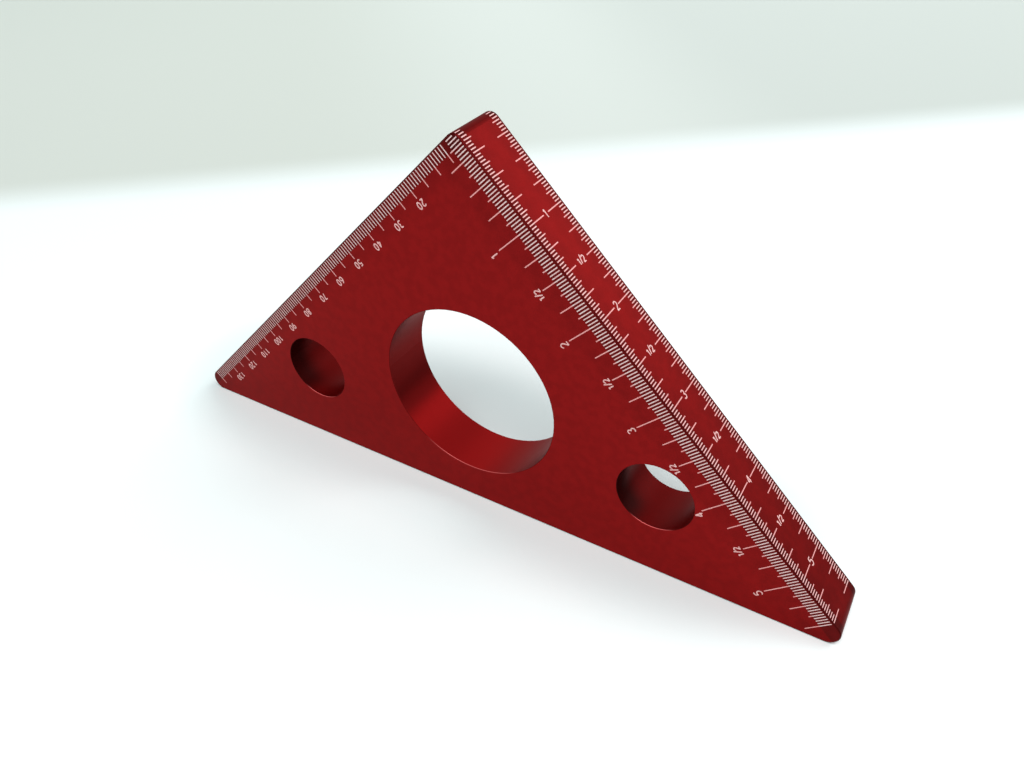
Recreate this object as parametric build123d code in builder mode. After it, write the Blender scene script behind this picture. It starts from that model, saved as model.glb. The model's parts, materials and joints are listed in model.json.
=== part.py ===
from build123d import *
import os
from math import asin, cos, pi, radians, sin, sqrt, tan

# A set square machined from one thick aluminium plate: a right-angled triangle with equal legs,
# three bores, and inch and millimetre scales engraved along its legs and filled with white.
# It stands on its long edge. X runs along that edge, Y from the front face to the back face, and
# Z up to the right-angled corner. The origin is the middle of the long edge's face. Millimetres.

os.makedirs("parts", exist_ok=True)

# ---- Outline -------------------------------------------------------------------------------------
leg_length = 150.0  # each leg, from the right angle to the tip, before the corners are rounded
thickness = 15.2
corner_radius = 2.5  # at the right angle
tip_radius = 3.4  # at the two sharp tips
tip_angle = 45.0
arris_chamfer = 0.3
corner_clearance = 0.08  # bare strip between the rounded right angle's chamfer and the face's strokes

# ---- Bores, all through the thickness --------------------------------------------------------------
centre_bore_diameter = 50.0
centre_bore_height = 35.7  # axis above the long edge
side_bore_diameter = 20.0
side_bore_height = 25.1  # axis above the long edge
side_bore_leg_distance = 20.0  # axis in from the nearer leg's edge face
rim_chamfer = 0.1

# ---- Engraved strokes, of V section ----------------------------------------------------------------
stroke_width = 0.27
stroke_depth = 0.15

# ---- Inch scales: reach of each kind of stroke, in from the arris ------------------------------------
inch = 25.4
steps_per_inch = 32
steps_per_half = steps_per_inch // 2
steps_per_quarter = steps_per_inch // 4
steps_per_eighth = steps_per_inch // 8
face_scale_margin = 0.55  # bare strip between the arris and the strokes
face_fine_reach = 3.75
face_eighth_reach = 4.65
face_quarter_reach = 7.8
face_inch_reach = 10.7
edge_scale_margin = 0.35
edge_back_shift = 0.35  # the scale at the back arris lies this much further in
edge_fine_reach = 2.25
edge_eighth_reach = 3.1
edge_quarter_reach = 4.8
edge_inch_reach = 6.45

# ---- Millimetre scale --------------------------------------------------------------------------------
metric_zero_offset = 0.5  # from the sharp right angle to the scale's zero
metric_first_stroke = 5
metric_long_every = 5
metric_label_every = 10  # the scale ends at one of these
metric_scale_margin = 0.35
metric_fine_reach = 3.1
metric_long_reach = 5.04

# ---- Worked out from the sizes above -------------------------------------------------------------------
corner_height = leg_length * sqrt(0.5)
front = -thickness / 2
corner = Vector(0, front, corner_height)  # the sharp right angle, on the front face
back_corner = Vector(0, -front, corner_height)
down_right = Vector(sqrt(0.5), 0, -sqrt(0.5))  # along the right leg, away from the right angle
down_left = Vector(-sqrt(0.5), 0, -sqrt(0.5))
forwards = Vector(0, -1, 0)
backwards = Vector(0, 1, 0)
flat_leg_end = leg_length - tip_radius / tan(radians(tip_angle / 2))
inch_step = inch / steps_per_inch
inch_steps = int(flat_leg_end // (inch / 2)) * steps_per_half
metric_flat_end = flat_leg_end - metric_zero_offset
metric_last_stroke = int(metric_flat_end // metric_label_every) * metric_label_every
side_bore_offset = corner_height - side_bore_height - side_bore_leg_distance / sqrt(0.5)


def step_reach(step, fine, eighth, quarter, whole):
    """How far in the stroke of this step of an inch scale reaches."""
    if step % steps_per_inch == 0:
        return whole
    if step % steps_per_quarter == 0:
        return quarter
    if step % steps_per_eighth == 0:
        return eighth
    return fine


def face_start(distance):
    """Where a stroke starts on the front face, in from the leg, clear of the rounded right angle."""
    sideways = corner_radius - (distance - stroke_width / 2)
    if sideways <= 0:
        return face_scale_margin
    bare_radius = corner_radius - arris_chamfer - corner_clearance
    rounded = corner_radius - sqrt(max(0.0, bare_radius**2 - sideways**2))
    return max(face_scale_margin, rounded)


def cut_strokes(origin, along, inward, outward, start, reach, distances):
    """Add V-section strokes from start to reach, inward from the line through origin along a scale."""
    section = Plane(origin=origin + inward * start, x_dir=along, z_dir=inward)
    apex = -stroke_depth * section.y_dir.dot(outward)
    with BuildSketch(section) as strokes:
        with Locations(*[(distance, 0) for distance in distances]):
            Polygon((-stroke_width / 2, 0), (stroke_width / 2, 0), (0, apex))
    extrude(strokes.sketch, amount=reach - start)


def cut_edge_scale(arris_corner, inward, shift):
    """Add the strokes of an inch scale on the right leg's edge face, inward from one of its arrises."""
    start = edge_scale_margin + shift
    strokes = {}
    for step in range(1, inch_steps + 1):
        distance = step * inch_step
        reach = shift + step_reach(
            step, edge_fine_reach, edge_eighth_reach, edge_quarter_reach, edge_inch_reach
        )
        if distance >= corner_radius:
            strokes.setdefault(reach, []).append(distance)
            continue
        # On the rounded corner each stroke lies square to the curve at its own place.
        turn = asin((corner_radius - distance) / corner_radius)
        outward = Vector(sin(pi / 4 - turn), 0, cos(pi / 4 - turn))
        along = Vector(outward.Z, 0, -outward.X)
        centre = arris_corner + (down_left + down_right) * corner_radius
        cut_strokes(centre + outward * corner_radius, along, inward, outward, start, reach, [0])
    for reach, distances in strokes.items():
        cut_strokes(arris_corner, down_right, inward, down_left * -1, start, reach, distances)


# ---- Fillings of the inch scale on the front face, along the right leg ---------------------------------
with BuildPart() as face_inch_scale:
    face_strokes = {}
    for step in range(1, inch_steps + 1):
        start = face_start(step * inch_step)
        reach = step_reach(step, face_fine_reach, face_eighth_reach, face_quarter_reach, face_inch_reach)
        if start < reach - stroke_width:
            face_strokes.setdefault((start, reach), []).append(step * inch_step)
    for (start, reach), distances in face_strokes.items():
        cut_strokes(corner, down_right, down_left, forwards, start, reach, distances)
face_inch_scale.part.label = "face_inch_scale"
export_step(face_inch_scale.part, "parts/face_inch_scale.step")

# ---- Fillings of the millimetre scale on the front face, along the left leg -----------------------------
with BuildPart() as face_metric_scale:
    metric_places = {metric_fine_reach: [], metric_long_reach: []}
    for millimetre in range(metric_first_stroke, metric_last_stroke + 1):
        reach = metric_long_reach if millimetre % metric_long_every == 0 else metric_fine_reach
        metric_places[reach].append(metric_zero_offset + millimetre)
    for reach, distances in metric_places.items():
        cut_strokes(corner, down_left, down_right, forwards, metric_scale_margin, reach, distances)
face_metric_scale.part.label = "face_metric_scale"
export_step(face_metric_scale.part, "parts/face_metric_scale.step")

# ---- Fillings of the two inch scales on the right leg's edge face --------------------------------------
with BuildPart() as edge_inch_scale_front:
    cut_edge_scale(corner, backwards, 0)
edge_inch_scale_front.part.label = "edge_inch_scale_front"
export_step(edge_inch_scale_front.part, "parts/edge_inch_scale_front.step")

with BuildPart() as edge_inch_scale_back:
    cut_edge_scale(back_corner, forwards, edge_back_shift)
edge_inch_scale_back.part.label = "edge_inch_scale_back"
export_step(edge_inch_scale_back.part, "parts/edge_inch_scale_back.step")

# ---- The block ---------------------------------------------------------------------------------------------
with BuildPart() as block:
    with BuildSketch(Plane.XZ) as outline:
        Polygon((-corner_height, 0), (corner_height, 0), (0, corner_height))
        fillet(outline.vertices().sort_by(Axis.Y)[-1], corner_radius)
        fillet(outline.vertices().group_by(Axis.Y)[0], tip_radius)
    extrude(amount=thickness / 2, both=True)
    chamfer(block.faces().filter_by(Axis.Y).edges(), arris_chamfer)
    with Locations(Plane.XZ):
        with Locations((0, centre_bore_height)):
            Hole(centre_bore_diameter / 2)
        with Locations((-side_bore_offset, side_bore_height), (side_bore_offset, side_bore_height)):
            Hole(side_bore_diameter / 2)
    rims = block.edges().filter_by(GeomType.CIRCLE).filter_by(lambda edge: edge.is_closed)
    chamfer(rims, rim_chamfer)
    for filling in (face_inch_scale, face_metric_scale, edge_inch_scale_front, edge_inch_scale_back):
        add(filling.part, mode=Mode.SUBTRACT)
block.part.label = "block"
export_step(block.part, "parts/block.step")
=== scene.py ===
import json
from math import pi, radians, sqrt
import bpy
import numpy as np
from mathutils import Matrix, Vector


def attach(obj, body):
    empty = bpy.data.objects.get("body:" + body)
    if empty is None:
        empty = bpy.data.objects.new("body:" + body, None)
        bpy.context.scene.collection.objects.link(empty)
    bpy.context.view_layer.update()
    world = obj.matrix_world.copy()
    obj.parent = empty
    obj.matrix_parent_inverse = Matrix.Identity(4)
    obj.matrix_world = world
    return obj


# The looks of a red anodised set square: the satin finish of the block, the white filling of its
# engraved scales, the numerals beside the strokes, and a plain pale studio. Metres throughout.

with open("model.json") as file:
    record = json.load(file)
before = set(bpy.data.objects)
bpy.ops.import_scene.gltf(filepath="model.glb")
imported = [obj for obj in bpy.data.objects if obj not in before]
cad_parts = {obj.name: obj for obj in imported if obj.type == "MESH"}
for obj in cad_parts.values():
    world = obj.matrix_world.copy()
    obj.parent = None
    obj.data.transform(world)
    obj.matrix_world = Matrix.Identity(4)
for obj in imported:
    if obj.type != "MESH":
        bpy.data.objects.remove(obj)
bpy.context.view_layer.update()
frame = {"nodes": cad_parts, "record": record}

# ---- Camera --------------------------------------------------------------------------------------
IMAGE_WIDTH = 1024
FOCAL_PIXELS = 829.8
SENSOR_WIDTH = 36.0
NEAREST_SEEN = 0.01
CAMERA_PLACE = Vector((0.095316, -0.145230, 0.169247))
CAMERA_AIM = Vector((0.01329, -0.0076, 0.04474))
CAMERA_ROLL = radians(-0.756)

# ---- The block's own lines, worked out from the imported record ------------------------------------
MILLIMETRE = 0.001
INCH = 25.4 * MILLIMETRE
MOUNTS = {mount["name"]: mount for mount in frame["record"]["mounts"]}
BORES = ("centre_bore", "right_bore", "left_bore")
LEG_FACE = MOUNTS["right_leg_edge"]["pos_m"]
FRONT = MOUNTS["front_face"]["pos_m"][1]
CORNER = Vector((0, FRONT, LEG_FACE[0] + LEG_FACE[2]))  # the sharp right angle, on the front face
DOWN_RIGHT = Vector((sqrt(0.5), 0, -sqrt(0.5)))  # along the right leg, away from the right angle
DOWN_LEFT = Vector((-sqrt(0.5), 0, -sqrt(0.5)))
BACKWARDS = Vector((0, 1, 0))

# ---- Numerals: sizes, and places of their middles, in from the leg or from the front face --------
LINE_WIDTH = 0.35 * MILLIMETRE
LINE_RISE = 0.02 * MILLIMETRE  # of the filling's crown above the metal
DIGIT_WIDTH = 0.54  # of its height
FACE_DIGIT_HEIGHT = 2.15 * MILLIMETRE
FACE_DIGIT_DISTANCE = 12.6 * MILLIMETRE
FACE_DIGIT_SHIFT = 0.25 * MILLIMETRE  # of a digit from its stroke, away from the right angle
BORE_CLEARANCE = 1.25 * MILLIMETRE  # least way from a digit's middle to the edge of a bore
HALF_DIGIT_HEIGHT = 1.6 * MILLIMETRE
HALF_SLASH_HEIGHT = 2.1 * MILLIMETRE
FACE_HALF_DISTANCE = 9.3 * MILLIMETRE
FACE_HALF_SHIFT = 0.4 * MILLIMETRE
EDGE_DIGIT_HEIGHT = 2.1 * MILLIMETRE
EDGE_DIGIT_DISTANCE = 7.5 * MILLIMETRE
METRIC_DIGIT_HEIGHT = 1.75 * MILLIMETRE
METRIC_DIGIT_DISTANCE = 6.65 * MILLIMETRE
METRIC_ADVANCE = 1.5 * MILLIMETRE  # from one digit to the next
METRIC_ZERO = 0.5 * MILLIMETRE  # from the sharp right angle to the scale's zero
WHOLE_INCHES = (1, 2, 3, 4, 5)
HALF_INCHES = (1.5, 2.5, 3.5, 4.5)
METRIC_LABELS = range(20, 140, 10)

# Points and stations along the numerals' lines.
LINE_POINTS = 9
ARC_POINTS = 25
RING_STATIONS = 24
STATION_STEP = 0.8 * LINE_WIDTH
NOSE_TURNS = np.radians(np.linspace(12, 90, 5))
SECTION_TURNS = np.radians(np.arange(0, 360, 45))

# ---- The metal's finish --------------------------------------------------------------------------
BLACK = (0.0, 0.0, 0.0)
RED = (0.218, 0.0040, 0.0045)
RED_LIGHT = (0.248, 0.0050, 0.0055)  # in the paler patches
BORE_RED = (0.205, 0.0022, 0.0026)
RED_EDGE_TINT = (0.5, 0.06, 0.06)  # at glancing angles
FACE_ROUGHNESS = 0.36
BORE_ROUGHNESS = 0.30
SMALL_BORE_ROUGHNESS = 0.55
PATCH_ROUGHNESS = 0.03  # more, in the paler patches
OXIDE_WEIGHT = 0.7  # of the clear oxide layer over the red
BORE_OXIDE_WEIGHT = 0.65
TURNED_OXIDE_WEIGHT = 0.3  # round the right angle
OXIDE_BENDING = 1.15  # its index of refraction, low so that it shows at glancing angles only
OXIDE_ROUGHNESS = 0.35
METAL_GRAIN = (5200.0, 420.0)  # grains and patches in each metre
METAL_GRAIN_STRENGTH = 0.35
GRAIN_HEIGHT = 0.00002
GRAIN_DETAIL = 2.0
COARSE_GRAIN = 0.3  # coarse grains for each fine one along a metre
PATCH_DETAIL = 3.0
PATCH_RAMP = (0.35, 0.65)  # of the noise, from a darker patch to a paler one

# Which surface a point is on, by its normal's size along Y and by its place.
FACE_LEAN = 0.93  # more than this on the front and back faces
WALL_LEAN = 0.3  # less than this on the edge faces and in the bores, and between on a chamfer
RIM_WIDTH = 0.1 * MILLIMETRE  # of a bore
EDGE_DEPTH = 1.0 * MILLIMETRE  # the leg's edge face lies less than this in

# Shades: the part of the red that is left at a place. The pairs are where a shade sets in.
# All but the scales' two are painted shade; a rim's pale tint further on is a painted highlight.
SCALE_SHADE = 0.53  # between the fine strokes
SCALE_WIDE_SHADE = 0.88  # beside the long strokes
# painted shade on the arrises' chamfers, away from the bores
ARRIS_SHADE = 0.35
# painted shade round the right angle, on the edge face and its arrises
TURNED_SHADE = 0.55  # round the right angle
TURNED_EDGE_RAMP = (0.74, 0.95)  # by the normal's Z, on the edge face
TURNED_ARRIS_RAMP = (0.51, 0.66)  # and on its arrises
# painted shade all over a small bore's wall
SMALL_BORE_SHADE = 0.7
# painted shade on the sides of the large bore
BORE_SIDE_SHADE = 0.66  # on the sides of the large bore, below its middle
BORE_SIDE_RAMPS = ((-0.15, 0.2), (0.66, 0.52))  # by the normal's Z, setting in and ending
# painted shade on the left of a small bore, near its front mouth
MOUTH_SHADE = 0.32  # on the left of a small bore, near its front mouth
MOUTH_SIDE_RAMP = (0.1, 0.65)  # by the normal's X
MOUTH_DEPTH_RAMP = (-0.25 * FRONT, 0.6 * FRONT)  # by the place's Y
# painted shade on a bore's rim
RIM_SHADE = 0.5
# painted highlight, pale, where a bore's rim faces up
RIM_PAINTED_HIGHLIGHT = (0.55, 0.10, 0.10)  # where a bore's rim faces up
RIM_HIGHLIGHT_RAMP = (0.56, 0.68)  # by the normal's Z

# How far in from its arris a scale's fine strokes and its wide shade reach, in millimetres.
FACE_INCH_REACH = (3.75, 9.0)
FACE_METRIC_REACH = (3.1, 6.0)
EDGE_INCH_REACH = (2.3, 5.0)
FINE_SOFTNESS = 0.5  # width of the soft end of a reach
WIDE_SOFTNESS = 4.0

# ---- The strokes' and numerals' filling ----------------------------------------------------------
FILL = (0.93, 0.42, 0.41)
FINE_FILL = (0.92, 0.72, 0.70)  # of the fine strokes on the front face
EDGE_FINE_SHARE = 0.45  # of the step from the first filling to the second, for the edge's own
EDGE_FINE_REACH = 2.4  # in millimetres, between the reaches of the two edge scales
FACE_DEPTH = 0.2 * MILLIMETRE  # the front face's filling lies less than this in
NUMBER_FILL = (0.93, 0.57, 0.55)
FILL_STAIN = (0.82, 0.24, 0.235)
STAIN_SHARE = 0.45  # at most
FILL_ROUGHNESS = 0.6
STAIN_ROUGHNESS = 0.15  # more, in the stain
FILL_GRAIN = (9000.0, 2600.0)
FILL_GRAIN_STRENGTH = 0.4

# ---- Studio --------------------------------------------------------------------------------------
FLOOR_SIZE = 6
FLOOR_WHITE = 0.86
FLOOR_MIRRORED = (0.92, 0.975, 0.965)  # what the metal sees
FLOOR_SHOWN = (1.0, 1.05, 1.05)  # what the camera sees, so that the sheet shows white
# painted shadow: the sheet darker near the block, as the camera sees it
FLOOR_NEAR = (0.84, 0.915, 0.915)  # the same near the block, in its shade
NEAR_LINE = (Vector((-0.085, 0.012, 0)), Vector((0.06, 0.012, 0)))  # along the block
NEAR_RAMP = (0.022, 0.045)  # distances from that line between which the sheet's tone turns
# painted shade on the sheet, which the metal sees in its reflections
FADE_TOWARDS = Vector((0.8, 0.6, 0))  # the way in which the sheet darkens, as the metal sees it
FADE_RAMP = (0.05, 0.15)  # distances that way between which it does
FADE_SHARE = 0.8  # of its tone lost
# painted light and shade: the backdrop paler in its middle than at its ends
BACKDROP_LEFT = (0.632, 0.66, 0.614)
BACKDROP_MIDDLE = (0.68, 0.712, 0.675)
BACKDROP_RIGHT = (0.62, 0.653, 0.62)
BACKDROP_AWAY = Vector((-0.660, 0.751, 0))  # across the backdrop's foot, away from the block
BACKDROP_ALONG = Vector((0.751, 0.660, 0))
BACKDROP_DISTANCE = 0.2301
BACKDROP_RAMP = (-0.022, 0.022)  # across the foot, from the sheet's tone to the backdrop's
BACKDROP_FIRST_TURN = (-0.06, 0.10)  # along it, from the left tone to the middle one
BACKDROP_LAST_TURN = (0.11, 0.24)  # from the middle tone to the right
BACKDROP_LIFT = 1.12  # at the foot, and more beyond it, where less light falls
BACKDROP_LIFT_RISE = 0.60  # for each metre
BACKDROP_MOST_LIFT = 1.4
WORLD_LIGHT = (0.15, 0.205, 0.205)
WORLD_SHOWN = (1.0, 1.04, 1.02)


def make_camera():
    data = bpy.data.cameras.new("camera")
    data.sensor_width = SENSOR_WIDTH
    data.lens = FOCAL_PIXELS / IMAGE_WIDTH * SENSOR_WIDTH
    data.clip_start = NEAREST_SEEN
    camera = bpy.data.objects.new("camera", data)
    bpy.context.scene.collection.objects.link(camera)
    roll = Matrix.Rotation(CAMERA_ROLL, 4, "Z")
    camera.matrix_world = aimed(CAMERA_PLACE, CAMERA_AIM) @ roll
    bpy.context.scene.camera = camera


def aimed(place, aim):
    """The matrix of a camera or lamp at a place, looking at another."""
    place, aim = Vector(place), Vector(aim)
    turn = (aim - place).to_track_quat("-Z", "Y").to_matrix().to_4x4()
    return Matrix.Translation(place) @ turn


def bore_radius(name):
    return MOUNTS[name]["dims"]["r_mm"] * MILLIMETRE


# ---- Node helpers --------------------------------------------------------------------------------
class Tree:
    """A node tree with short calls: an input may be another node's output or a plain value."""

    def __init__(self, tree):
        self.tree = tree

    def node(self, kind, **settings):
        made = self.tree.nodes.new(kind)
        for name, value in settings.items():
            setattr(made, name, value)
        return made

    def feed(self, socket, source):
        if isinstance(source, bpy.types.NodeSocket):
            self.tree.links.new(source, socket)
        else:
            socket.default_value = source

    def feed_color(self, socket, source):
        self.feed(socket, source if isinstance(source, bpy.types.NodeSocket) else (*source, 1))

    def math(self, operation, first, second=0.0):
        made = self.node("ShaderNodeMath", operation=operation)
        self.feed(made.inputs[0], first)
        self.feed(made.inputs[1], second)
        return made.outputs[0]

    def product(self, first, *others):
        for other in others:
            first = self.math("MULTIPLY", first, other)
        return first

    def inverse(self, share):
        """1 where the share is 0, and 0 where it is 1."""
        return self.math("SUBTRACT", 1.0, share)

    def vector_math(self, operation, first, second, out="Vector"):
        made = self.node("ShaderNodeVectorMath", operation=operation)
        self.feed(made.inputs[0], first)
        self.feed(made.inputs[1], second)
        return made.outputs[out]

    def along(self, place, direction):
        """How far a place lies along a direction."""
        return self.vector_math("DOT_PRODUCT", place, direction, out="Value")

    def apart(self, vector):
        """A vector's three numbers, as outputs named X, Y and Z."""
        made = self.node("ShaderNodeSeparateXYZ")
        self.feed(made.inputs[0], vector)
        return made.outputs

    def noise(self, coordinates, scale, detail):
        made = self.node("ShaderNodeTexNoise")
        self.feed(made.inputs["Vector"], coordinates)
        self.feed(made.inputs["Scale"], scale)
        self.feed(made.inputs["Detail"], detail)
        return made.outputs[0]

    def ramp(self, value, low, high):
        """The value carried smoothly from low..high to 0..1; low may be the greater."""
        made = self.node("ShaderNodeMapRange", interpolation_type="SMOOTHSTEP")
        self.feed(made.inputs["Value"], value)
        self.feed(made.inputs["From Min"], low)
        self.feed(made.inputs["From Max"], high)
        return made.outputs["Result"]

    def blend(self, factor, first, second):
        """A colour from first to second."""
        made = self.node("ShaderNodeMix", data_type="RGBA")
        self.feed(made.inputs["Factor"], factor)
        self.feed_color(made.inputs[6], first)
        self.feed_color(made.inputs[7], second)
        return made.outputs[2]

    def number_blend(self, factor, first, second):
        """A number from first to second."""
        made = self.node("ShaderNodeMix", data_type="FLOAT")
        self.feed(made.inputs["Factor"], factor)
        self.feed(made.inputs[2], first)
        self.feed(made.inputs[3], second)
        return made.outputs[0]

    def darken(self, color, amount, shade):
        """The colour, of which only the shade is left where the amount is 1."""
        return self.blend(self.math("MULTIPLY", amount, 1 - shade), color, BLACK)

    def grain_normal(self, height, strength):
        made = self.node("ShaderNodeBump")
        self.feed(made.inputs["Height"], height)
        self.feed(made.inputs["Distance"], GRAIN_HEIGHT)
        self.feed(made.inputs["Strength"], strength)
        return made.outputs["Normal"]

    def principled(self, inputs):
        """The material's surface: a principled shader with these inputs."""
        bsdf = self.node("ShaderNodeBsdfPrincipled")
        for name, source in inputs.items():
            self.feed(bsdf.inputs[name], source)
        surface = self.node("ShaderNodeOutputMaterial").inputs["Surface"]
        self.feed(surface, bsdf.outputs["BSDF"])


def new_material(name):
    material = bpy.data.materials.new(name)
    material.use_nodes = True
    material.node_tree.nodes.clear()
    return material, Tree(material.node_tree)


def new_group(name, inputs, outputs):
    """A shader node group with named number or vector sockets."""
    group = bpy.data.node_groups.new(name, "ShaderNodeTree")
    for socket, kind in inputs.items():
        group.interface.new_socket(socket, in_out="INPUT", socket_type=kind)
    for socket, kind in outputs.items():
        group.interface.new_socket(socket, in_out="OUTPUT", socket_type=kind)
    tree = Tree(group)
    return group, tree, tree.node("NodeGroupInput"), tree.node("NodeGroupOutput")


def make_grain_group():
    """Blasted grain: two sizes of noise as a height, and slow patches for colour and roughness."""
    inputs = {"Vector": "NodeSocketVector", "Grain": "NodeSocketFloat", "Patch": "NodeSocketFloat"}
    outputs = {"Height": "NodeSocketFloat", "Mottle": "NodeSocketFloat"}
    group, tree, given, result = new_group("blasted_grain", inputs, outputs)
    place, grain = given.outputs["Vector"], given.outputs["Grain"]
    fine = tree.noise(place, grain, GRAIN_DETAIL)
    coarse = tree.noise(place, tree.product(grain, COARSE_GRAIN), GRAIN_DETAIL)
    patches = tree.noise(place, given.outputs["Patch"], PATCH_DETAIL)
    tree.feed(result.inputs["Height"], tree.math("ADD", fine, coarse))
    tree.feed(result.inputs["Mottle"], tree.ramp(patches, *PATCH_RAMP))
    return group


def use_grain(tree, group, coordinates, grain, patch):
    used = tree.node("ShaderNodeGroup", node_tree=group)
    tree.feed(used.inputs["Vector"], coordinates)
    tree.feed(used.inputs["Grain"], grain)
    tree.feed(used.inputs["Patch"], patch)
    return used.outputs["Height"], used.outputs["Mottle"]


# ---- Materials -----------------------------------------------------------------------------------
def scale_places(tree, place):
    """How far a point lies in from the right leg, the left leg and the nearer face, and its Y."""
    from_corner = tree.vector_math("SUBTRACT", place, CORNER)
    in_right = tree.along(from_corner, DOWN_LEFT)
    in_left = tree.along(from_corner, DOWN_RIGHT)
    depth = tree.apart(place)["Y"]
    in_face = tree.math("SUBTRACT", -FRONT, tree.math("ABSOLUTE", depth))
    return in_right, in_left, in_face, depth


def reached(tree, inward, reach, softness=FINE_SOFTNESS):
    """0 nearer to the arris than a reach in millimetres, and 1 beyond it."""
    low, high = reach - softness / 2, reach + softness / 2
    return tree.ramp(inward, low * MILLIMETRE, high * MILLIMETRE)


def scale_shade(tree, color, where, inward, reaches):
    """The colour, darker between a scale's fine strokes and a little darker to its long ones."""
    fine, wide = reaches
    near = tree.product(where, tree.inverse(reached(tree, inward, fine)))
    color = tree.darken(color, near, SCALE_SHADE / SCALE_WIDE_SHADE)
    far = tree.product(where, tree.inverse(reached(tree, inward, wide, WIDE_SOFTNESS)))
    return tree.darken(color, far, SCALE_WIDE_SHADE)


def red_anodised(grain_group):
    """Satin red metal with a clear oxide layer.

    The faces are blasted, the large bore is smoother and the small ones are rougher. The red is
    darker between the strokes. Painted shade darkens it on the arrises and rims, round the right
    angle, in the small bores, on the sides of the large bore and near the small ones' front mouths;
    a painted highlight pales a bore's rim where it faces up.
    """
    material, tree = new_material("red_anodised")
    coordinates = tree.node("ShaderNodeTexCoord").outputs
    place = coordinates["Object"]
    normal = tree.apart(coordinates["Normal"])
    height, mottle = use_grain(tree, grain_group, place, *METAL_GRAIN)

    # Inside a bore: nearer to its axis than its radius and its rim.
    flat = tree.vector_math("MULTIPLY", place, (1, 0, 1))
    inside = []
    for name in BORES:
        x, _, z = MOUNTS[name]["pos_m"]
        distance = tree.vector_math("DISTANCE", flat, (x, 0, z), out="Value")
        inside.append(tree.math("LESS_THAN", distance, bore_radius(name) + RIM_WIDTH))
    in_large_bore = inside[0]
    in_small_bore = tree.math("MAXIMUM", inside[1], inside[2])
    in_bore = tree.math("MAXIMUM", in_large_bore, in_small_bore)

    # A chamfer leans between the faces and the walls.
    lean = tree.math("ABSOLUTE", normal["Y"])
    on_wall = tree.math("LESS_THAN", lean, WALL_LEAN)
    chamfer = tree.product(
        tree.math("GREATER_THAN", lean, WALL_LEAN), tree.math("LESS_THAN", lean, FACE_LEAN)
    )
    arris = tree.product(chamfer, tree.inverse(in_bore))
    rim = tree.product(chamfer, in_bore)

    in_right, in_left, in_face, depth = scale_places(tree, place)
    on_front = tree.math("LESS_THAN", normal["Y"], -FACE_LEAN)
    on_edge = tree.product(on_wall, tree.math("LESS_THAN", in_right, EDGE_DEPTH))
    # Round the right angle: painted shade there, and a thinner oxide layer.
    turned = tree.ramp(
        normal["Z"],
        tree.number_blend(arris, TURNED_EDGE_RAMP[0], TURNED_ARRIS_RAMP[0]),
        tree.number_blend(arris, TURNED_EDGE_RAMP[1], TURNED_ARRIS_RAMP[1]),
    )
    turned = tree.product(turned, tree.inverse(in_bore))
    # Painted shade on the large bore's sides, below its middle.
    bore_side = tree.product(
        tree.ramp(normal["Z"], *BORE_SIDE_RAMPS[0]),
        tree.ramp(normal["Z"], *BORE_SIDE_RAMPS[1]),
        in_large_bore,
        tree.inverse(chamfer),
    )
    # Painted shade near the front mouths of the small bores, on their left.
    mouth = tree.product(
        tree.ramp(normal["X"], *MOUTH_SIDE_RAMP),
        tree.ramp(depth, *MOUTH_DEPTH_RAMP),
        in_small_bore,
    )

    color = tree.blend(mottle, RED, RED_LIGHT)
    color = scale_shade(tree, color, on_front, in_right, FACE_INCH_REACH)
    color = scale_shade(tree, color, on_front, in_left, FACE_METRIC_REACH)
    color = scale_shade(tree, color, on_edge, in_face, EDGE_INCH_REACH)
    # painted shade on the arrises
    color = tree.darken(color, arris, ARRIS_SHADE)
    # painted shade round the right angle
    color = tree.darken(color, turned, TURNED_SHADE)
    color = tree.blend(in_bore, color, BORE_RED)
    # painted shade in the small bores
    color = tree.darken(color, in_small_bore, SMALL_BORE_SHADE)
    # painted shade on the large bore's sides
    color = tree.darken(color, bore_side, BORE_SIDE_SHADE)
    # painted shade near the small bores' front mouths
    color = tree.darken(color, mouth, MOUTH_SHADE)
    # painted shade on the bores' rims
    color = tree.darken(color, rim, RIM_SHADE)
    # painted highlight where a bore's rim faces up
    color = tree.blend(tree.product(rim, tree.ramp(normal["Z"], *RIM_HIGHLIGHT_RAMP)), color, RIM_PAINTED_HIGHLIGHT)

    rough = tree.number_blend(in_bore, FACE_ROUGHNESS, BORE_ROUGHNESS)
    rough = tree.number_blend(in_small_bore, rough, SMALL_BORE_ROUGHNESS)
    rough = tree.math("ADD", rough, tree.product(mottle, PATCH_ROUGHNESS))
    oxide = tree.number_blend(in_bore, OXIDE_WEIGHT, BORE_OXIDE_WEIGHT)
    tree.principled({
        "Base Color": color,
        "Metallic": 1.0,
        "Roughness": rough,
        "Specular Tint": (*RED_EDGE_TINT, 1),
        "Coat Weight": tree.number_blend(turned, oxide, TURNED_OXIDE_WEIGHT),
        "Coat Roughness": OXIDE_ROUGHNESS,
        "Coat IOR": OXIDE_BENDING,
        "Normal": tree.grain_normal(height, METAL_GRAIN_STRENGTH),
    })
    return material


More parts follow.
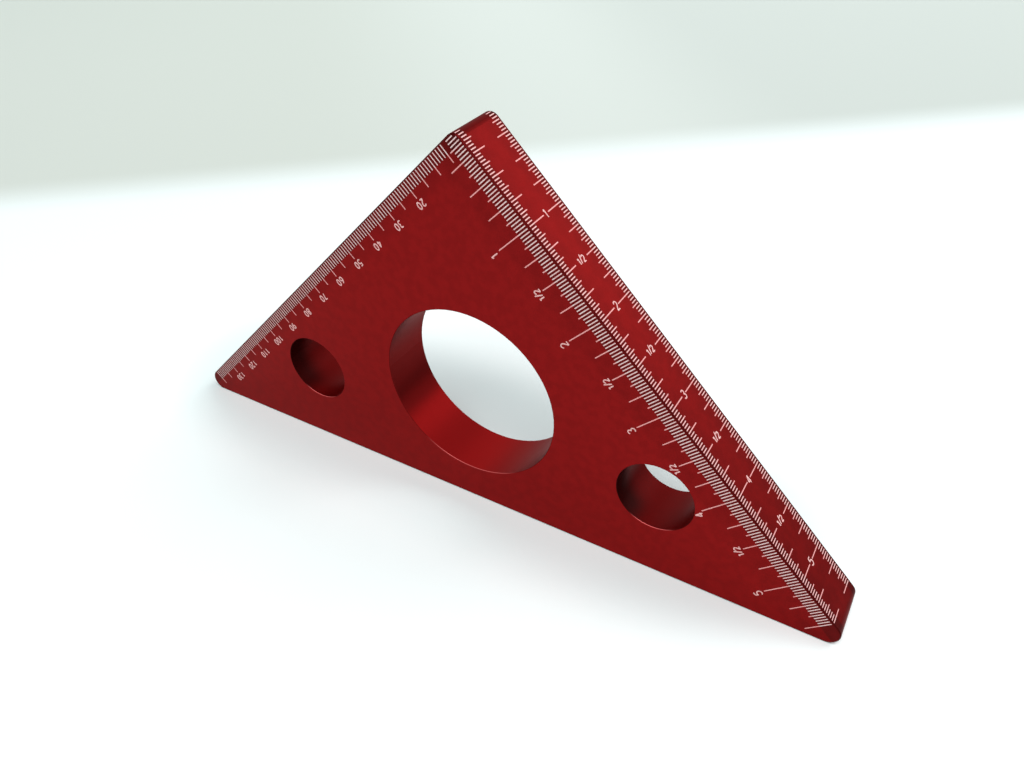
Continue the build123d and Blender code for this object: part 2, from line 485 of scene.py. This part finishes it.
def white_fill(name, grain_group, fill):
    """Matt filling with a fine speckle, stained by the red in random patches.

    The fine strokes' filling is whiter than the rest.
    """
    material, tree = new_material(name)
    place = tree.node("ShaderNodeTexCoord").outputs["Object"]
    height, mottle = use_grain(tree, grain_group, place, *FILL_GRAIN)
    in_right, in_left, in_face, _ = scale_places(tree, place)
    face_beyond = tree.math(
        "MINIMUM",
        reached(tree, in_right, FACE_INCH_REACH[0]),
        reached(tree, in_left, FACE_METRIC_REACH[0]),
    )
    edge_beyond = tree.number_blend(EDGE_FINE_SHARE, 1.0, reached(tree, in_face, EDGE_FINE_REACH))
    on_face = tree.math("LESS_THAN", in_face, FACE_DEPTH)
    beyond = tree.number_blend(on_face, edge_beyond, face_beyond)
    color = tree.blend(beyond, FINE_FILL, fill)
    stained = tree.product(mottle, STAIN_SHARE)
    tree.principled({
        "Base Color": tree.blend(stained, color, FILL_STAIN),
        "Roughness": tree.math("ADD", FILL_ROUGHNESS, tree.product(mottle, STAIN_ROUGHNESS)),
        "Normal": tree.grain_normal(height, FILL_GRAIN_STRENGTH),
    })
    return material


def floor_sheet():
    """White sheet turning to a pale grey backdrop; the block's shadow stays, with painted shade."""
    material, tree = new_material("floor_sheet")
    place = tree.node("ShaderNodeTexCoord").outputs["Object"]
    path = tree.node("ShaderNodeLightPath").outputs

    # The backdrop's tone, along its foot and beyond it. Its paler middle and darker ends are
    # painted light and shade.
    away = tree.math("SUBTRACT", tree.along(place, BACKDROP_AWAY), BACKDROP_DISTANCE)
    sideways = tree.along(place, BACKDROP_ALONG)
    tone = tree.blend(tree.ramp(sideways, *BACKDROP_FIRST_TURN), BACKDROP_LEFT, BACKDROP_MIDDLE)
    tone = tree.blend(tree.ramp(sideways, *BACKDROP_LAST_TURN), tone, BACKDROP_RIGHT)
    lift = tree.math("ADD", BACKDROP_LIFT, tree.product(away, BACKDROP_LIFT_RISE))
    tone = tree.vector_math("MULTIPLY", tone, tree.math("MINIMUM", lift, BACKDROP_MOST_LIFT))

    # The sheet's tone, near the block and away from it: darker near the block, a painted shadow
    # laid over the rendered one, as the camera sees it.
    nearest = tree.vector_math("MINIMUM", place, NEAR_LINE[1])
    nearest = tree.vector_math("MAXIMUM", nearest, NEAR_LINE[0])
    way = tree.vector_math("DISTANCE", place, nearest, out="Value")
    sheet = tree.blend(tree.ramp(way, *NEAR_RAMP), FLOOR_NEAR, FLOOR_SHOWN)
    sheet = tree.blend(path["Is Camera Ray"], FLOOR_MIRRORED, sheet)

    shown = tree.blend(tree.ramp(away, *BACKDROP_RAMP), sheet, tone)
    # Painted shade on the sheet as the metal sees it, darker towards the back right.
    fade = tree.ramp(tree.along(place, FADE_TOWARDS), *FADE_RAMP)
    fade = tree.product(fade, path["Is Glossy Ray"])
    shown = tree.darken(shown, fade, 1 - FADE_SHARE)
    seen = tree.math("MAXIMUM", path["Is Camera Ray"], path["Is Glossy Ray"])
    seen = tree.math("MAXIMUM", seen, path["Is Transmission Ray"])
    diffuse = tree.node("ShaderNodeBsdfDiffuse")
    tree.feed(diffuse.inputs["Color"], tree.blend(seen, (FLOOR_WHITE,) * 3, shown))
    tree.feed(tree.node("ShaderNodeOutputMaterial").inputs["Surface"], diffuse.outputs["BSDF"])
    return material


# ---- Numerals: a rounded ribbon of filling along each line of a digit ----------------------------
def line(x0, y0, x1, y1):
    """Points evenly along the straight line from the first to the second."""
    return np.linspace((x0, y0), (x1, y1), LINE_POINTS)


def arc(x, y, across, up, start, end):
    """Points of an oval arc: its middle plus across times the cosine and up times the sine."""
    turn = np.radians(np.linspace(start, end, ARC_POINTS))
    return np.stack([x + across * np.cos(turn), y + up * np.sin(turn)], 1)


def joined(first, second):
    """Two paths as one; the second starts where the first ends."""
    return np.concatenate([first, second[1:]])


# Each digit is a few lines in a box one unit wide and one high.
GLYPHS = {
    "0": [arc(0.5, 0.5, 0.5, 0.5, 90, 450)],
    "1": [line(0.5, 0, 0.5, 1), line(0.5, 1, 0.12, 0.76)],
    "2": [
        joined(arc(0.49, 0.71, 0.46, 0.29, 165, -38), line(0.85, 0.53, 0.02, 0)),
        line(0.02, 0, 1, 0),
    ],
    "3": [arc(0.46, 0.76, 0.42, 0.24, 150, -90), arc(0.46, 0.26, 0.5, 0.26, 90, -150)],
    "4": [line(0.7, 0, 0.7, 1), joined(line(0.7, 1, 0, 0.28), line(0, 0.28, 1, 0.28))],
    "5": [
        joined(line(0.88, 1, 0.16, 1), line(0.16, 1, 0.08, 0.55)),
        arc(0.46, 0.33, 0.52, 0.33, 138, -150),
    ],
    "6": [arc(0.5, 0.3, 0.48, 0.3, 180, 540), arc(0.94, 0.32, 0.92, 0.68, 180, 100)],
    "7": [joined(line(0, 1, 1, 1), line(1, 1, 0.3, 0))],
    "8": [arc(0.5, 0.76, 0.4, 0.24, -90, 270), arc(0.5, 0.26, 0.5, 0.26, 90, 450)],
    "9": [arc(0.5, 0.7, 0.48, 0.3, 0, 360), arc(0.06, 0.68, 0.92, 0.68, 0, -80)],
    "/": [line(0, 0, 1, 1)],
}


def ribbon(path, reading, up, outward, centre):
    """A closed ribbon of filling along a flat path: its points and its faces.

    Its section is a flattened oval, as wide as the line and crowned by its rise. Towards each end
    of an open path, the half width follows a half circle: w = W sqrt(1 - (1 - s/W)^2), with s the
    way to the end, so that the ribbon closes in a round nose. A path that ends where it starts
    stays a ring.
    """
    half = LINE_WIDTH / 2
    steps = np.linalg.norm(np.diff(path, axis=0), axis=1)
    way = np.concatenate([[0], np.cumsum(steps)])
    length = way[-1]
    ring = np.linalg.norm(path[0] - path[-1]) < 1e-9
    if ring:
        stations = np.linspace(0, length, RING_STATIONS + 1)[:-1]
        width = np.full(len(stations), half)
    else:
        nose = half * (1 - np.cos(NOSE_TURNS))
        middle = np.linspace(half, length - half, max(3, int(length / STATION_STEP)))[1:-1]
        stations = np.concatenate([nose, middle, length - nose[::-1]])
        to_end = np.minimum(stations, length - stations)
        width = half * np.sqrt(1 - np.clip(1 - to_end / half, 0, 1) ** 2)
    spots = np.stack([np.interp(stations, way, path[:, axis]) for axis in (0, 1)], 1)
    if ring:
        ahead = np.roll(spots, -1, 0) - np.roll(spots, 1, 0)
    else:
        ahead = np.gradient(spots, axis=0)
    ahead /= np.linalg.norm(ahead, axis=1, keepdims=True)
    aside = np.stack([-ahead[:, 1], ahead[:, 0]], 1) * width[:, None]

    flat = spots[:, None] + aside[:, None] * np.cos(SECTION_TURNS)[None, :, None]
    rise = LINE_RISE * (width / half)[:, None] * np.sin(SECTION_TURNS)[None]
    points = flat[..., :1] * reading + flat[..., 1:] * up + rise[..., None] * outward + centre
    rows, around = rise.shape
    index = np.arange(rows * around).reshape(rows, around)
    nearer = index if ring else index[:-1]
    further = np.roll(index, -1, 0) if ring else index[1:]
    sides = [nearer, np.roll(nearer, -1, 1), np.roll(further, -1, 1), further]
    faces = np.stack(sides, -1).reshape(-1, 4)[:, ::-1].tolist()
    if not ring:
        faces += [index[0][::-1].tolist(), index[-1].tolist()]
    return points.reshape(-1, 3), faces


def number_lines(text, height, advance=0.0):
    """The lines of a number's digits, around the middle of the number, in metres."""
    lines = []
    start = -(advance * (len(text) - 1) + DIGIT_WIDTH * height) / 2
    for place, digit in enumerate(text):
        for path in GLYPHS[digit]:
            scaled = path * (DIGIT_WIDTH * height, height)
            lines.append(scaled + (start + place * advance, -height / 2))
    return lines


def half_lines():
    """The lines of a small 1, a taller slash and a small 2, around the middle of the digits."""
    # Each part: its glyph, its left end, lift and width in millimetres, and its height.
    parts = [
        ("1", -1.38, 0, 0.9, HALF_DIGIT_HEIGHT),
        ("/", -0.42, 0.05, 0.75, HALF_SLASH_HEIGHT),
        ("2", 0.42, 0, 0.92, HALF_DIGIT_HEIGHT),
    ]
    low = -HALF_DIGIT_HEIGHT / 2
    lines = []
    for glyph, left, lift, width, height in parts:
        for path in GLYPHS[glyph]:
            scaled = path * (width * MILLIMETRE, height)
            lines.append(scaled + (left * MILLIMETRE, low + lift * MILLIMETRE))
    return lines


def numerals(name, labels, reading, up, material):
    """One piece with every numeral of a scale; labels are pairs of lines and the middle's place."""
    outward = reading.cross(up)
    points, faces, count = [], [], 0
    for lines, centre in labels:
        directions = [np.array(vector) for vector in (reading, up, outward, centre)]
        for path in lines:
            spots, sides = ribbon(path, *directions)
            faces += [[index + count for index in side] for side in sides]
            points.append(spots)
            count += len(spots)
    mesh = bpy.data.meshes.new(name)
    mesh.from_pydata(np.concatenate(points).tolist(), [], faces)
    mesh.shade_smooth()
    mesh.materials.append(material)
    piece = bpy.data.objects.new(name, mesh)
    bpy.context.scene.collection.objects.link(piece)
    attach(piece, "root")


def beside_bores(place):
    """A place for a digit's middle, moved straight away from a bore that it would hang over."""
    for name in BORES:
        axis = Vector(MOUNTS[name]["pos_m"])
        axis.y = place.y
        least = bore_radius(name) + BORE_CLEARANCE
        away = place - axis
        if away.length < least:
            place = axis + away.normalized() * least
    return place


def make_numerals(material):
    face = []
    for n in WHOLE_INCHES:
        way = n * INCH + FACE_DIGIT_SHIFT
        place = CORNER + DOWN_RIGHT * way + DOWN_LEFT * FACE_DIGIT_DISTANCE
        face.append((number_lines(str(n), FACE_DIGIT_HEIGHT), beside_bores(place)))
    for n in HALF_INCHES:
        way = n * INCH + FACE_HALF_SHIFT
        face.append((half_lines(), CORNER + DOWN_RIGHT * way + DOWN_LEFT * FACE_HALF_DISTANCE))
    numerals("face_inch_numbers", face, -DOWN_RIGHT, DOWN_LEFT, material)

    metric = []
    for n in METRIC_LABELS:
        way = n * MILLIMETRE + METRIC_ZERO
        place = CORNER + DOWN_LEFT * way + DOWN_RIGHT * METRIC_DIGIT_DISTANCE
        metric.append((number_lines(str(n), METRIC_DIGIT_HEIGHT, METRIC_ADVANCE), place))
    numerals("face_metric_numbers", metric, DOWN_LEFT, DOWN_RIGHT, material)

    edge = []
    for n in WHOLE_INCHES + HALF_INCHES:
        lines = half_lines() if n in HALF_INCHES else number_lines(str(n), EDGE_DIGIT_HEIGHT)
        edge.append((lines, CORNER + DOWN_RIGHT * n * INCH + BACKWARDS * EDGE_DIGIT_DISTANCE))
    numerals("edge_inch_numbers", edge, BACKWARDS, -DOWN_RIGHT, material)


# ---- Studio --------------------------------------------------------------------------------------
def make_floor():
    bpy.ops.mesh.primitive_plane_add(size=FLOOR_SIZE)
    floor = bpy.context.object
    floor.name = "floor"
    floor.data.materials.append(floor_sheet())


def make_world():
    """Even soft light from all round; the camera and the metal see a white."""
    world = bpy.data.worlds.new("studio")
    world.use_nodes = True
    world.node_tree.nodes.clear()
    tree = Tree(world.node_tree)
    path = tree.node("ShaderNodeLightPath").outputs
    background = tree.node("ShaderNodeBackground")
    seen = tree.math("MAXIMUM", path["Is Camera Ray"], path["Is Glossy Ray"])
    tree.feed(background.inputs["Color"], tree.blend(seen, WORLD_LIGHT, WORLD_SHOWN))
    tree.feed(tree.node("ShaderNodeOutputWorld").inputs["Surface"], background.outputs[0])
    bpy.context.scene.world = world


def make_softbox(name, place, aim, width, height, radiance, mirrored=True):
    """A rectangular softbox; its power is pi times its area times its radiance.

    One that isn't mirrored lights the sheet and the filling, and leaves no highlight on the metal.
    """
    data = bpy.data.lights.new(name, "AREA")
    data.shape = "RECTANGLE"
    data.size = width
    data.size_y = height
    data.energy = pi * width * height * radiance
    light = bpy.data.objects.new(name, data)
    bpy.context.scene.collection.objects.link(light)
    light.visible_glossy = mirrored
    light.matrix_world = aimed(place, aim)


make_camera()
grain = make_grain_group()
red = red_anodised(grain)
white = white_fill("white_fill", grain, FILL)
for name, node in frame["nodes"].items():
    node.data.materials.clear()
    node.data.materials.append(red if name == "block" else white)
make_numerals(white_fill("number_fill", grain, NUMBER_FILL))
make_floor()
make_world()
make_softbox("overhead", (0.22, -0.68, 1.75), (0, 0, 0), 1.2, 1.2, 6.1)
make_softbox("back_right", (0.75, 1.1, 0.75), (0, 0, 0.05), 0.9, 0.6, 0.7)
make_softbox("back_left", (-0.6, 1.0, 0.9), (0, 0, 0.05), 0.8, 0.8, 0.35)
make_softbox("window", (0.9, 0.83, 1.65), (0, 0, 0), 1.2, 1.2, 3.1, mirrored=False)
bpy.context.scene.view_settings.view_transform = "Standard"
